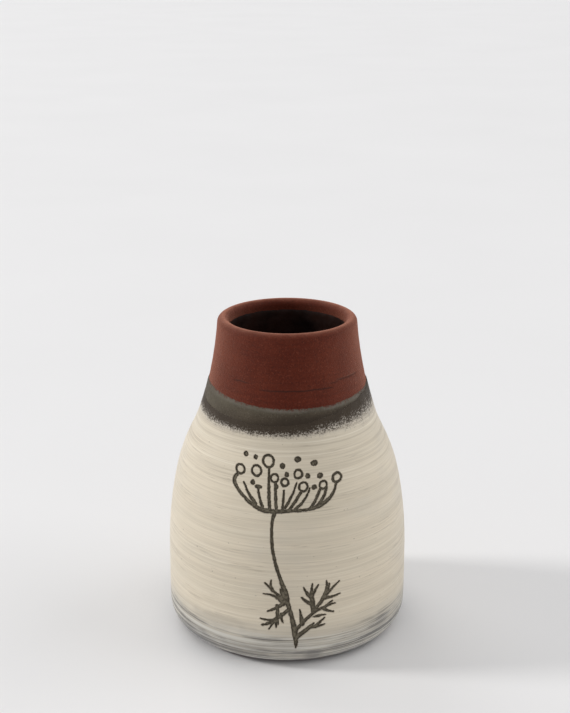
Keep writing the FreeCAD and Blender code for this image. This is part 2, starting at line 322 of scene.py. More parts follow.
class Drawing:
    """The carved lines on the unrolled slip, and how far any place is from their edges."""

    ROOM = 1.0  # how far a point looks for another side of a cut, and the most it takes as room
    TRIES = 12

    def __init__(self, loops):
        """Turns the loops so that the slip is on their left, and frays them, less where they would cross."""
        self.use(loops)
        turned = []
        for loop in loops:
            left = self.beside(loop, 0.1)
            turned.append(loop if np.mean(self.past_cut(left) > 0) > 0.5 else loop[::-1])
        self.use(turned)
        clean = self.points
        ease = np.ones(len(clean))
        for _ in range(self.TRIES):
            moved = self.frayed(ease)
            crossings = crossed(moved)
            if not crossings:
                break
            for crossing in crossings:
                ease[np.hypot(*(clean - crossing).T) < 1.5] *= 0.5
        self.use(moved)

    def use(self, loops):
        """Takes these loops as the drawing."""
        self.loops = loops
        self.points = np.vstack(loops)
        self.ends = np.vstack([np.roll(loop, -1, axis=0) for loop in loops])
        self.before = np.vstack([np.roll(loop, 1, axis=0) for loop in loops])
        self.low, self.high = self.points.min(0), self.points.max(0)
        self.tree = KDTree(len(self.points))
        for i, (u, s) in enumerate(self.points):
            self.tree.insert((u, s, 0), i)
        self.tree.balance()

    def frayed(self, ease):
        """The outlines as a blade in dry slip leaves them: worn back and unsteady, but never meeting.

        ease holds a share of the full move for each point.
        """
        count = len(self.points)
        loop_of = np.repeat(np.arange(len(self.loops)), [len(loop) for loop in self.loops])
        room = np.full(count, self.ROOM)
        for i, (u, s) in enumerate(self.points):
            for _, j, gap in self.tree.find_range((u, s, 0), self.ROOM):
                apart = count
                if loop_of[i] == loop_of[j]:
                    apart = min(abs(i - j), len(self.loops[loop_of[i]]) - abs(i - j))
                if gap < 0.75 * LOOP_STEP * apart:
                    room[i] = min(room[i], gap)
        at = np.column_stack([self.points, np.zeros(count)])
        moves = [0.55 * grain(at, 0.6, seed) + 0.9 * grain(at, 1.9, seed + 3) for seed in (21.0, 31.0)]
        back = np.vstack([self.beside(loop, FRAY) for loop in self.loops]) - self.points
        move = UNSTEADY * np.stack(moves, -1) + back
        size = np.maximum(np.hypot(*move.T), 1e-6)
        moved = self.points + move * (ease * np.minimum(1, 0.3 * room / size))[:, None]
        return np.split(moved, np.cumsum([len(loop) for loop in self.loops])[:-1])

    @staticmethod
    def beside(loop, distance):
        """Points to the left of a loop's points."""
        way = np.roll(loop, -1, axis=0) - np.roll(loop, 1, axis=0)
        way = way / np.maximum(np.hypot(*way.T), 1e-9)[:, None]
        return loop + distance * np.stack([-way[:, 1], way[:, 0]], -1)

    def past_cut(self, places):
        """Distance of (u, s) places from a cut's edge: below 0 inside a cut, above 0 on the slip."""
        values = np.full(len(places), FAR)
        near = ((places > self.low - FAR) & (places < self.high + FAR)).all(1)
        values[near] = self.distance(places[near]) * np.where(self.carved(places[near]), -1, 1)
        return values

    def distance(self, places):
        """Distance of places from the two sides that meet at the nearest point of an outline."""
        nearest = np.array([self.tree.find((u, s, 0))[1] for u, s in places], dtype=int)
        best = np.full(len(places), FAR)
        before, here, after = self.before[nearest], self.points[nearest], self.ends[nearest]
        for start, end in ((before, here), (here, after)):
            side = end - start
            t = ((places - start) * side).sum(1) / np.maximum((side * side).sum(1), 1e-12)
            gap = places - start - np.clip(t, 0, 1)[:, None] * side
            best = np.minimum(best, np.hypot(*gap.T))
        return best

    def carved(self, places):
        """Whether each place is inside a cut, by how many outlines a line to its left crosses."""
        order = np.argsort(places[:, 1])
        inside = np.zeros(len(places), dtype=bool)
        for part in np.array_split(order, max(1, len(places) // 400)):
            u, s = places[part].T
            lowest, highest = s.min(), s.max()
            a, b = self.points, self.ends
            meets = (np.minimum(a[:, 1], b[:, 1]) <= highest) & (np.maximum(a[:, 1], b[:, 1]) > lowest)
            a, b = a[meets], b[meets]
            rise = np.where(a[:, 1] == b[:, 1], 1, b[:, 1] - a[:, 1])
            straddles = (a[:, 1] > s[:, None]) != (b[:, 1] > s[:, None])
            crossing = a[:, 0] + (s[:, None] - a[:, 1]) * (b[:, 0] - a[:, 0]) / rise
            inside[part] = (straddles & (crossing < u[:, None])).sum(1) % 2 == 1
        return inside


drawing = Drawing([unrolled(loop) for loop in carved_loops()])

# The slip's two faces share the points of its outlines, and the points of its top and bottom edges.
EDGE_STEP = 0.5
DRY_EDGE = 3.2  # the dry brush reaches this far past the edge that the eye sees
SLIP_S = clay.outside(np.array(SLIP_Z), ENGOBE + SLIP)
EDGE_U = np.linspace(-HALF_TURN, HALF_TURN, round(2 * HALF_TURN / EDGE_STEP) + 1)


def grid(u_values, s_values):
    """(u, s) rows of every pair of the two lists of values."""
    return np.stack(np.meshgrid(u_values, s_values), -1).reshape(-1, 2)


def round_grid(u_step, s_low, s_high, s_step):
    """Grid points all round the vase, both ends of each row included."""
    u_values = np.linspace(-HALF_TURN, HALF_TURN, round(2 * HALF_TURN / u_step) + 1)
    return grid(u_values, np.linspace(s_low, s_high, round((s_high - s_low) / s_step) + 1))


def outer_points():
    """Free points of the slip's outer face: close together round the drawing and near the top edge."""
    low, high = drawing.low - 1.5, drawing.high + 1.5
    base = round_grid(1.4, SLIP_S[0] + 0.6, SLIP_S[0] + 21, 0.4)
    wide = np.vstack([base, round_grid(2.2, SLIP_S[0] + 21.6, high[1], 0.8)])
    wide = wide[((wide < low) | (wide > high)).any(1)]
    close = grid(np.arange(low[0], high[0], 0.5), np.arange(low[1], high[1] - 0.2, 0.5))
    top = round_grid(0.7, high[1] + 0.4, SLIP_S[1] - 0.35, 0.5)
    free = np.vstack([wide, close, top])
    free = [free[drawing.past_cut(free) > 0.42]]
    for distance in (0.13, 0.3):
        rim = np.vstack([drawing.beside(loop, distance) for loop in drawing.loops])
        if distance > 0.2:
            rim = rim[::2]
        free.append(rim[drawing.past_cut(rim) > 0.85 * distance])
    return np.vstack(free)


def inner_points():
    """Free points of the slip's inner face, which is never seen."""
    free = round_grid(2.5, SLIP_S[0] + 2, SLIP_S[1] - 2, 4.0)
    return free[drawing.past_cut(free) > 0.6]


def tiling(free_points):
    """All points, and the triangles of the unrolled slip between them, without the cuts.

    The outlines' points come first, then those of the bottom and the top edge, then the free points.
    """
    count = len(drawing.points)
    points = np.vstack([drawing.points, grid(EDGE_U, SLIP_S), free_points])
    edges = loop_edges(drawing.loops)
    found = delaunay_2d_cdt([Vector(p) for p in points], edges, [], 0, SAME_PLACE, True)
    source = [ids[0] if ids else drawing.tree.find((*place, 0))[1] for place, ids in zip(found[0], found[3])]
    source = np.array(source)
    triangles = source[np.array(found[2])]
    on_loop = (triangles < count).all(1)
    keep = np.ones(len(triangles), dtype=bool)
    keep[on_loop] = drawing.past_cut(points[triangles[on_loop]].mean(1)) > 0
    return points, triangles[keep], edges


def base_z(s):
    """Height of the clay's surface, that far along its outline."""
    return clay.at(s, 0.0)[1]


def raised(theta, s, height):
    """Points that far round the vase, along its outline and above the clay as it was thrown."""
    r, z = clay.at(s, height + hand_shape(theta, base_z(s)))
    return np.stack([r * np.sin(theta), -r * np.cos(theta), z], -1)


def slip_edge_shift(theta, s):
    """How far the hand-brushed top edge of the slip moves its points up the wall."""
    waves = 0.5 * grain(ring_points(theta, 110.0), 0.16, 51.0)
    shift = around(theta, -1.6, 7.0, 1.0, 0.9) + waves + DRY_EDGE
    return shift * smoothstep(SLIP_S[1] - 10, SLIP_S[1], s)


# Smudges where the slip is rubbed thin near the base: (u, z, half width, half height, strength).
SMUDGES = [
    (11.0, 7.0, 4.6, 2.6, 1.0),
    (21.0, 9.0, 4.0, 1.4, 0.4),
    (44.0, 14.5, 8.0, 2.6, 0.55),
    (57.0, 11.0, 6.0, 2.2, 0.3),
    (-42.0, 7.4, 15.0, 4.2, 0.95),
    (-20.0, 8.4, 17.0, 3.8, 0.6),
    (-28.0, 19.5, 18.0, 4.0, 0.25),
    (105.0, 9.0, 10.0, 2.6, 0.6),
    (-120.0, 12.0, 12.0, 2.2, 0.5),
]


def smudged(u, z):
    """How strongly each place near the base is smudged, from 0 to 1."""
    at = ring_points(u / UNROLL_R, z)
    ragged = 0.45 * grain(at, (0.25, 0.25, 0.5), 91.0) + 0.35 * grain(at, (0.12, 0.12, 1.2), 92.0)
    found = np.zeros(len(u))
    for middle, height, half_width, half_height, strength in SMUDGES:
        away = np.hypot((u - middle) / half_width, (z - height) / half_height)
        found = np.maximum(found, strength * (1 - smoothstep(0.45, 1.15, away + ragged)))
    return found


WORN = 0.10  # the brushed slip is this much thinner than the CAD's
BURR = 0.07  # height of the burr that the blade pushes up, beside a cut
THINNEST = 0.04  # of the grains at the top edge


def slip_fields(u, s, past):
    """Height over the clay of the slip's outer face, how bare the dry brush left it, and its smudges."""
    theta = u / UNROLL_R
    at = ring_points(theta, base_z(s))
    strokes = 0.35 * grain(at, (0.015, 0.015, 0.5), 41.0) + 0.65 * grain(at, (0.03, 0.03, 1.25), 43.0)
    lumps = 0.5 * grain(at, 0.12, 45.0) + 0.3 * grain(at, 0.5, 46.0)
    thick = SLIP - WORN + 0.03 * strokes + 0.02 * lumps
    burr = BURR * hump(past, 0.17, 0.1) * (0.5 + grain(at, 0.9, 47.0))
    thick = thick + burr - 0.10 * (1 - smoothstep(0.0, 0.13, past))
    from_top = SLIP_S[1] - s
    reach = around(theta, 7.8, 9.6, 8.6, 8.0)
    bare = 1 - smoothstep(0.0, 1.0, (from_top + 0.5 * grain(at, 0.3, 48.0)) / reach)
    thin = smoothstep(0.0, 1.0, from_top / (reach + 1.5))
    thick = THINNEST + (thick - THINNEST) * thin * (0.35 + 0.65 * smoothstep(0, 1.2, s - SLIP_S[0]))
    thick = thick + 0.06 * np.maximum(0, grain(at, 1.3, 49.0)) * bare * smoothstep(0.2, 1.0, from_top)
    return ENGOBE + thick, bare, smudged(u, base_z(s))


BEHIND_SLIP = 0.12  # the slip's inner face lies this far inside the engobe


def slip_piece(material):
    """The white slip: an outer and an inner face, walls down every cut, and strips along the two edges."""
    count = len(drawing.points)
    outer, outer_faces, cut_edges = tiling(outer_points())
    inner, inner_faces, _ = tiling(inner_points())
    past = drawing.past_cut(outer)
    past[:count] = 0
    height, bare, smudge = slip_fields(outer[:, 0], outer[:, 1], past)
    sides = []
    for places, over in ((outer, height), (inner, ENGOBE - BEHIND_SLIP)):
        theta = places[:, 0] / UNROLL_R
        s = places[:, 1] + slip_edge_shift(theta, places[:, 1])
        sides.append(raised(theta, s, over))
    base = len(outer)
    faces = outer_faces.tolist() + (inner_faces[:, ::-1] + base).tolist()
    faces += [(b, a, base + a, base + b) for a, b in cut_edges]
    for start, turned in ((count, False), (count + len(EDGE_U), True)):
        for i in range(start, start + len(EDGE_U) - 1):
            quad = (i, i + 1, base + i + 1, base + i)
            faces.append(quad if turned else quad[::-1])
    points = np.vstack(sides)
    fields = {"past_cut": past, "bare": bare, "smudge": smudge}
    fields = {name: np.concatenate([values, np.zeros(len(inner))]) for name, values in fields.items()}
    points, faces, fields = welded(points, faces, fields)
    return build("brushed_white_slip", points, faces, material, "white_slip", fields)


def welded(points, faces, fields):
    """The same mesh with the points that meet at the back joined."""
    _, first, same = np.unique(np.round(points, 5), axis=0, return_index=True, return_inverse=True)
    same = same.ravel()
    faces = [tuple(same[list(face)].tolist()) for face in faces]
    return points[first], faces, {name: values[first] for name, values in fields.items()}


ENGOBE_S = clay.outside(np.array(ENGOBE_Z), ENGOBE)
FINE_TO = 27  # the drawing lies within this u on both sides, where the columns are closest
MIDDLING_TO = 80
BEHIND_ENGOBE = 0.15  # its inner face lies this far inside the clay


def engobe_shift(theta, s):
    """How far the uneven top edge of the engobe moves its points up the wall."""
    at = ring_points(theta, 119.0)
    waves = 0.3 * grain(at, 0.15, 63.0) + 0.2 * grain(at, 0.6, 64.0)
    return (around(theta, -0.8, 1.2, 0.6, 2.7) + waves) * smoothstep(ENGOBE_S[1] - 9, ENGOBE_S[1], s)


def engobe_piece(material):
    """The dark coat: fine where the belly shows it through the cuts and in the band above the slip."""
    front = np.arange(-FINE_TO, FINE_TO + 0.01, 0.4)
    side = np.arange(FINE_TO + 0.8, MIDDLING_TO, 0.8)
    back = np.linspace(MIDDLING_TO, 2 * HALF_TURN - MIDDLING_TO, 78)
    theta = np.concatenate([front, side, back, (2 * HALF_TURN - side)[::-1]]) / UNROLL_R
    low, high = ENGOBE_S
    s = np.linspace(low, high, round((high - low) / 0.5) + 1)
    theta_grid, s_grid = np.meshgrid(theta, s)
    at = ring_points(theta_grid, base_z(s_grid))
    inside = smoothstep(28, 26, np.abs(np.where(theta_grid > math.pi, 99, theta_grid * UNROLL_R)))
    scratch = 0.5 + 0.5 * grain(at, (1.1, 0.5, 1.4), 61.0)
    speckle = grain(at, (0.45, 0.45, 0.7), 62.0)
    height = ENGOBE - 0.05 + 0.03 * speckle - 0.09 * scratch * inside * (s_grid < SLIP_S[1] - 3)
    from_top = high - s_grid
    height = np.minimum(height + 0.04 * hump(from_top, 1.0, 0.8), ENGOBE + 0.06)
    height = height - (height + 0.12) * (1 - smoothstep(0.0, 2.6, from_top + 0.3 * grain(at, 0.8, 65.0)))
    height = height * (0.3 + 0.7 * smoothstep(0, 1.5, s_grid - low))
    outer = raised(theta_grid, s_grid + engobe_shift(theta, s_grid), height)
    theta_back, s_back = np.meshgrid(theta, np.linspace(high, low, 30))
    inner = raised(theta_back, s_back + engobe_shift(theta, s_back), -BEHIND_ENGOBE)
    places = np.stack([(theta_grid + math.pi) % TURN - math.pi, s_grid], -1).reshape(-1, 2) * (UNROLL_R, 1)
    # Painted shade in the cuts: darker along their edges, where the walls of the slip would shade the
    # groove.
    shade = smoothstep(-0.62, -0.1, drawing.past_cut(places)) * (s_grid.ravel() < drawing.high[1] + 1)
    patches = 0.5 + 0.5 * grain(ring_points(theta_grid, 119.0), 0.10, 66.0)
    # Painted highlight just under the band's raised top edge, where it would catch the light; weaker at the
    # back and faint on the left.
    bead_highlight = hump(from_top, 1.7, 0.9) * patches * around(theta_grid, 1.0, 1.0, 0.5, 0.1)
    # Partly the band's own colour and partly painted light and shade: the pale top reaches further down on
    # the lit left, and the dark lower part reaches higher on the shaded right.
    tone_and_light = from_top * around(theta_grid, 1.1, 1.9, 1.0, 0.4)
    points, faces = ring_faces(np.concatenate([outer, inner]))
    fields = {"from_top": from_top, "tone_and_light": tone_and_light, "cut_shade": shade, "bead_highlight": bead_highlight}
    unseen = np.full(inner.size // 3, FAR)
    fields = {name: np.append(values.ravel(), unseen) for name, values in fields.items()}
    return build("grey_engobe_coat", points, faces, material, "grey_engobe", fields)


def ring_faces(rows):
    """Points and faces of a closed band: rows of rings, with the last row joined to the first."""
    count, columns = rows.shape[:2]
    i, j = np.meshgrid(np.arange(count), np.arange(columns), indexing="ij")
    here, there = i * columns, (i + 1) % count * columns
    k = (j + 1) % columns
    faces = np.stack([here + j, here + k, there + k, there + j], -1).reshape(-1, 4)
    return rows.reshape(-1, 3), faces.tolist()


def capped_faces(rows):
    """Points and faces of a solid of rings that starts and ends at the axis."""
    count, columns = rows.shape[:2]
    points, faces = ring_faces(rows)
    faces = faces[:(count - 1) * columns]
    ends = [[0, 0, rows[0, :, 2].mean()], [0, 0, rows[-1, :, 2].mean()]]
    first, last = len(points), (count - 1) * columns
    for j in range(columns):
        k = (j + 1) % columns
        faces.append((first, k, j))
        faces.append((first + 1, last + j, last + k))
    return np.vstack([points, ends]), faces


def rows_between(stops):
    """Lengths along the outline from (place, step) stops, each step used from its place to the next."""
    parts = []
    for (a, step), (b, _) in zip(stops, stops[1:]):
        shares = np.arange(0, 1, 1 / max(1, round((b - a) / step)))
        parts.append(shares * (b - a) + a)
    return np.concatenate(parts + [[stops[-1][0]]])


# Marks on the bare neck: (angle from, angle to, z, depth, width), in radians and millimetres.
NECK_MARKS = [
    (-0.34, 0.60, 125.3, 0.15, 0.34),
    (-0.74, -0.52, 127.6, 0.18, 0.32),
    (0.56, 0.70, 127.2, 0.12, 0.26),
    (0.70, 1.10, 127.9, 0.28, 0.40),
    (0.80, 0.98, 127.6, 0.10, 0.30),
    (2.2, 3.6, 131.0, 0.08, 0.30),
    (3.9, 4.6, 126.2, 0.10, 0.30),
]
MARK_END = 0.05  # how far a mark's ends fade, in radians
FULL_SHADE_FROM = 0.14  # a mark this deep gets the full painted shade


def neck_marks(theta, z):
    """Depth of the marks in the neck, and how much painted shade each place gets from them, from 0 to 1."""
    depths = np.zeros_like(z)
    groove_shade = np.zeros_like(z)
    for start, end, mark_z, depth, width in NECK_MARKS:
        turned = theta_from(theta, start, end)
        along = smoothstep(start - MARK_END, start + MARK_END, turned)
        along = along * (1 - smoothstep(end - MARK_END, end + MARK_END, turned))
        wander = 0.35 * grain(ring_points(theta, mark_z), 0.12, 73.0)
        here = along * hump(z - mark_z, wander, width)
        depths = np.maximum(depths, depth * here)
        groove_shade = np.maximum(groove_shade, here * min(1.0, depth / FULL_SHADE_FROM))
    return depths, groove_shade


CLAY_COLUMNS = 340
LINER_COLUMNS = 240


def clay_piece(material):
    """The thrown body: foot, outside, lip and inside as one skin."""
    top = clay.s[clay.lip]
    foot = clay.outside(3.0)
    hidden = clay.outside(104.0)
    stops = [(0.4, 1.2), (foot - 16, 0.35), (foot + 2, 4.0), (hidden, 0.7), (clay.outside(123.5), 0.22)]
    stops += [(clay.outside(131.5), 0.6), (top - 5, 0.3), (top + 5, 0.5)]
    stops += [(clay.inside(LINER_TOP - 4), 4.0), (clay.s[-1] - 0.4, 1.0)]
    s = rows_between(stops)
    theta = np.linspace(0, TURN, CLAY_COLUMNS, endpoint=False)
    theta_grid, s_grid = np.meshgrid(theta, s)
    z = base_z(s_grid)
    at = ring_points(theta_grid, z)
    bare = smoothstep(hidden, hidden + 8, s_grid) * smoothstep(clay.s[-1] - 20, top + 8, s_grid)
    turning = 0.5 + 0.5 * grain(at, (0.02, 0.02, 0.9), 71.0)
    height = -bare * (0.03 * turning + 0.03 * (0.5 + 0.5 * grain(at, 0.4, 72.0)))
    depths, groove_shade = neck_marks(theta_grid, z)
    outside = s_grid < top
    points, faces = capped_faces(raised(theta_grid, s_grid, height - outside * depths))
    crest = hump(s_grid, top, 2.2)
    fields = {"crest": crest, "mark": outside * groove_shade}
    fields = {name: np.concatenate([values.ravel(), [0, 0]]) for name, values in fields.items()}
    return build("thrown_clay_body", points, faces, material, "clay_body", fields)


def theta_from(theta, start, end):
    """theta moved by whole turns to lie nearest the middle of start and end."""
    middle = (start + end) / 2
    return middle + (theta - middle + math.pi) % TURN - math.pi


def liner_piece(material):
    """The glaze inside: a thin skin over the inside wall and the floor, closed behind against the clay."""
    theta = np.linspace(0, TURN, LINER_COLUMNS, endpoint=False)
    start = clay.inside(LINER_TOP)
    s = rows_between([(start, 0.4), (start + 12, 0.9), (start + 40, 1.6), (clay.s[-1] - 0.5, 1.0)])
    theta_grid, s_grid = np.meshgrid(theta, s)
    at = ring_points(theta_grid, base_z(s_grid))
    ripple = 0.5 + 0.5 * np.sin(TURN * (base_z(s_grid) / 5.5 + theta_grid / TURN))
    run = s_grid - start
    height = (LINER - 0.08 * ripple - 0.05 * (0.5 + 0.5 * grain(at, 0.3, 81.0))) * smoothstep(-0.6, 4.0, run)
    height = height - 0.16 * (1 - smoothstep(0.0, 1.8, run))
    rim = ring_points(theta, 145.0)
    edge = 0.35 * grain(rim, 0.12, 82.0) + 0.2 * grain(rim, 0.5, 83.0)
    shift = edge * (1 - smoothstep(0, 6, run))
    skin = raised(theta_grid, s_grid + shift, height)
    behind = raised(theta_grid, s_grid + shift, -0.3)
    points, faces = capped_faces(np.concatenate([behind[::-1], skin]))
    return build("liner_glaze_skin", points, faces, material, "liner_glaze")


class Finish:
    """A material's nodes, with lengths in millimetres on the object."""

    def __init__(self, name):
        self.material = bpy.data.materials.new(name)
        self.material.use_nodes = True
        self.tree = self.material.node_tree
        self.shader = self.tree.nodes["Principled BSDF"]
        self.place = self.node("ShaderNodeTexCoord").outputs["Object"]

    def node(self, kind, **settings):
        """A new node with these settings."""
        made = self.tree.nodes.new(kind)
        for name, value in settings.items():
            setattr(made, name, value)
        return made

    def put(self, socket, value):
        """Links another node's output to a socket, or sets a constant on it."""
        if isinstance(value, bpy.types.NodeSocket):
            self.tree.links.new(value, socket)
        else:
            socket.default_value = value

    def surface(self, name, value):
        """Gives one of the shader's own inputs a link or a constant."""
        self.put(self.shader.inputs[name], value)

    def noise(self, scale, detail=3.0, roughness=0.5, seed=0.0, distortion=0.0):
        """Noise from 0 to 1; scale is in waves per millimetre, one number or one for each axis."""
        x, y, z = scale if isinstance(scale, tuple) else (scale,) * 3
        mapping = self.node("ShaderNodeMapping")
        self.put(mapping.inputs["Vector"], self.place)
        mapping.inputs["Scale"].default_value = (x / MM, y / MM, z / MM)
        mapping.inputs["Location"].default_value = (seed, seed * 1.7, seed * 0.6)
        noise_node = self.node("ShaderNodeTexNoise")
        self.put(noise_node.inputs["Vector"], mapping.outputs["Vector"])
        noise_node.inputs["Scale"].default_value = 1.0
        noise_node.inputs["Detail"].default_value = detail
        noise_node.inputs["Roughness"].default_value = roughness
        noise_node.inputs["Distortion"].default_value = distortion
        return noise_node.outputs["Fac"]

    def field(self, name):
        """One of the named values at the mesh's points."""
        return self.node("ShaderNodeAttribute", attribute_name=name).outputs["Fac"]

    def height(self):
        """Height over the table, in millimetres."""
        split = self.node("ShaderNodeSeparateXYZ")
        self.put(split.inputs[0], self.place)
        return self.times(split.outputs["Z"], 1 / MM)

    def math(self, operation, a, b=0.0):
        """Result of a node that does sums."""
        made = self.node("ShaderNodeMath", operation=operation)
        self.put(made.inputs[0], a)
        self.put(made.inputs[1], b)
        return made.outputs[0]

    def times(self, a, b):
        """The product of two values."""
        return self.math("MULTIPLY", a, b)

    def plus(self, a, b):
        """The sum of two values."""
        return self.math("ADD", a, b)

    def step(self, value, low, high, from_value=0.0, to_value=1.0):
        """Smooth change from one value at low to another at high."""
        made = self.node("ShaderNodeMapRange", interpolation_type="SMOOTHSTEP")
        self.put(made.inputs["Value"], value)
        settings = {"From Min": low, "From Max": high, "To Min": from_value, "To Max": to_value}
        for name, number in settings.items():
            self.put(made.inputs[name], number)
        return made.outputs["Result"]

    def near(self, value, middle, width):
        """1 where value is at middle, falling to 0 at width away on either side."""
        away = self.math("ABSOLUTE", self.math("SUBTRACT", value, middle))
        return self.step(away, 0.0, width, 1.0, 0.0)

    def mix(self, amount, a, b):
        """Colour a, or b where amount is 1."""
        made = self.node("ShaderNodeMix", data_type="RGBA")
        self.put(made.inputs[0], amount)
        for socket, value in ((made.inputs[6], a), (made.inputs[7], b)):
            self.put(socket, value if isinstance(value, bpy.types.NodeSocket) else (*value, 1))
        return made.outputs[2]

    def bump(self, height, distance, strength=1.0):
        """Bump from a height of 0 to 1, which stands for distance in millimetres."""
        made = self.node("ShaderNodeBump")
        made.inputs["Strength"].default_value = strength
        made.inputs["Distance"].default_value = distance * MM
        self.put(made.inputs["Height"], height)
        if self.shader.inputs["Normal"].links:
            self.put(made.inputs["Normal"], self.shader.inputs["Normal"].links[0].from_socket)
        self.put(self.shader.inputs["Normal"], made.outputs["Normal"])


# Colours of the engobe, as linear red, green and blue.
OLIVE_DARK = (0.052, 0.039, 0.026)
OLIVE = (0.078, 0.060, 0.040)
OLIVE_FLECK = (0.17, 0.14, 0.10)
OLIVE_PIT = (0.026, 0.019, 0.013)
BAND_TOP_AND_LIGHT = (0.115, 0.101, 0.070)
BAND_BOTTOM_AND_SHADE = (0.037, 0.026, 0.017)
# Painted highlight colour for the band's raised top edge.
BEAD_HIGHLIGHT = (0.21, 0.192, 0.165)
SCRAPED_DARK = (0.078, 0.065, 0.045)
SCRAPED_PALE = (0.190, 0.165, 0.118)
# Painted shade colour for the edges of the cuts.
CUT_EDGE_SHADE = (0.036, 0.029, 0.019)
CLAY_SMEAR = (0.095, 0.026, 0.016)


def engobe_colour(finish):
    """Dark olive brown, finely specked, which also shows where the slip is worn."""
    cloud = finish.noise((0.08, 0.08, 0.16), 4.0, 0.6, seed=2.0)
    colour = finish.mix(finish.step(cloud, 0.3, 0.7), OLIVE_DARK, OLIVE)
    pale = finish.step(finish.noise(1.5, 3.0, 0.65, seed=5.0), 0.54, 0.70, 0.0, 0.5)
    colour = finish.mix(pale, colour, OLIVE_FLECK)
    dark = finish.step(finish.noise(1.2, 3.0, 0.65, seed=9.0), 0.53, 0.68, 0.0, 0.6)
    return finish.mix(dark, colour, OLIVE_PIT)


def engobe_finish():
    """The dark coat: paler at the top of its band and darkest below that, partly its own colour and partly
    painted light and shade, with a painted highlight under its raised top edge, scraped in the drawing's
    cuts and with painted shade along their edges.
    """
    finish = Finish("grey_engobe")
    colour = engobe_colour(finish)
    from_top = finish.field("from_top")
    tone_and_light = finish.field("tone_and_light")
    uneven = finish.step(finish.noise((0.05, 0.05, 0.1), 4.0, 0.6, seed=12.0), 0.3, 0.7)
    share = finish.plus(finish.times(uneven, 0.5), 0.12)
    # Paler top of the band: partly its own colour, partly painted light, reaching further down on the lit
    # left.
    colour = finish.mix(finish.times(finish.step(tone_and_light, 6.5, 1.0), share), colour, BAND_TOP_AND_LIGHT)
    # Darker lower band: partly its own colour, partly painted shade, reaching highest on the shaded right.
    lower = finish.times(finish.step(tone_and_light, 3.5, 9.0), finish.step(from_top, 30.0, 18.0))
    colour = finish.mix(finish.times(lower, 0.9), colour, BAND_BOTTOM_AND_SHADE)
    # Painted highlight along the band's raised top edge.
    colour = finish.mix(finish.times(finish.field("bead_highlight"), 0.75), colour, BEAD_HIGHLIGHT)
    scraped = finish.step(finish.noise(0.9, 3.0, 0.7, seed=31.0), 0.40, 0.60)
    scraped = finish.mix(scraped, SCRAPED_DARK, SCRAPED_PALE)
    colour = finish.mix(finish.step(from_top, 13.0, 20.0, 0.0, 0.8), colour, scraped)
    # Painted shade along the edges of the cuts.
    colour = finish.mix(finish.times(finish.field("cut_shade"), 0.8), colour, CUT_EDGE_SHADE)
    smeared = finish.step(finish.noise(0.9, 4.0, 0.7, seed=14.0), 0.35, 0.65)
    smeared = finish.step(finish.plus(finish.times(from_top, 0.55), smeared), 0.5, 1.5, 0.8, 0.0)
    colour = finish.mix(smeared, colour, CLAY_SMEAR)
    finish.surface("Base Color", colour)
    finish.surface("Roughness", finish.step(finish.noise(0.7, 3.0), 0.3, 0.7, 0.5, 0.68))
    finish.surface("Specular IOR Level", 0.15)
    finish.bump(finish.noise(1.4, 4.0, 0.6, seed=15.0), 0.12)
    return finish.material


# Colours of the bare clay.
CLAY_DEEP = (0.064, 0.0070, 0.0022)
CLAY_RED = (0.086, 0.0105, 0.0036)
CLAY_CLOUD = (0.116, 0.020, 0.008)
CLAY_PIT = (0.034, 0.006, 0.004)
CLAY_FLECK = (0.185, 0.044, 0.024)
CLAY_CREST = (0.23, 0.085, 0.052)
CLAY_SCRATCH_SHADE = (0.020, 0.006, 0.005)
CLAY_SHEEN = (1.0, 0.46, 0.31, 1)


def clay_finish():
    """Unglazed dark red clay, gritty and dry, paler along the crest of the lip, with painted shade in the
    marks on the neck.
    """
    finish = Finish("bare_clay")
    turning = finish.noise((0.02, 0.02, 0.8), 5.0, 0.65, seed=1.0)
    cloud = finish.noise(0.05, 4.0, 0.55, seed=3.0)
    colour = finish.mix(finish.step(turning, 0.3, 0.7), CLAY_DEEP, CLAY_RED)
    colour = finish.mix(finish.step(cloud, 0.4, 0.7, 0.0, 0.5), colour, CLAY_CLOUD)
    dark = finish.step(finish.noise(1.3, 4.0, 0.75, seed=6.0), 0.50, 0.66, 0.0, 0.7)
    colour = finish.mix(dark, colour, CLAY_PIT)
    pale = finish.step(finish.noise(1.35, 4.0, 0.75, seed=16.0), 0.53, 0.68, 0.0, 0.6)
    colour = finish.mix(pale, colour, CLAY_FLECK)
    broken = finish.step(finish.noise(0.3, 3.0, seed=8.0), 0.3, 0.6, 0.4, 1.0)
    # Paler along the crest of the lip, in broken patches.
    crest = finish.times(finish.times(finish.field("crest"), broken), 0.5)
    colour = finish.mix(crest, colour, CLAY_CREST)
    # Painted shade in the scratches and ring lines of the neck, darker where they are deeper.
    colour = finish.mix(finish.times(finish.field("mark"), 0.8), colour, CLAY_SCRATCH_SHADE)
    finish.surface("Base Color", colour)
    finish.surface("Roughness", finish.step(finish.noise(0.5, 3.0, seed=4.0), 0.3, 0.7, 0.6, 0.75))
    finish.surface("Specular IOR Level", 0.10)
    finish.surface("Sheen Weight", 0.55)
    finish.surface("Sheen Roughness", 0.5)
    finish.surface("Sheen Tint", CLAY_SHEEN)
    finish.bump(turning, 0.10)
    finish.bump(finish.noise(1.3, 4.0, 0.7, seed=10.0), 0.22)
    return finish.material


# Colours of the glaze inside.
GLAZE_DARK = (0.010, 0.005, 0.004)
GLAZE_BROWN = (0.026, 0.011, 0.008)


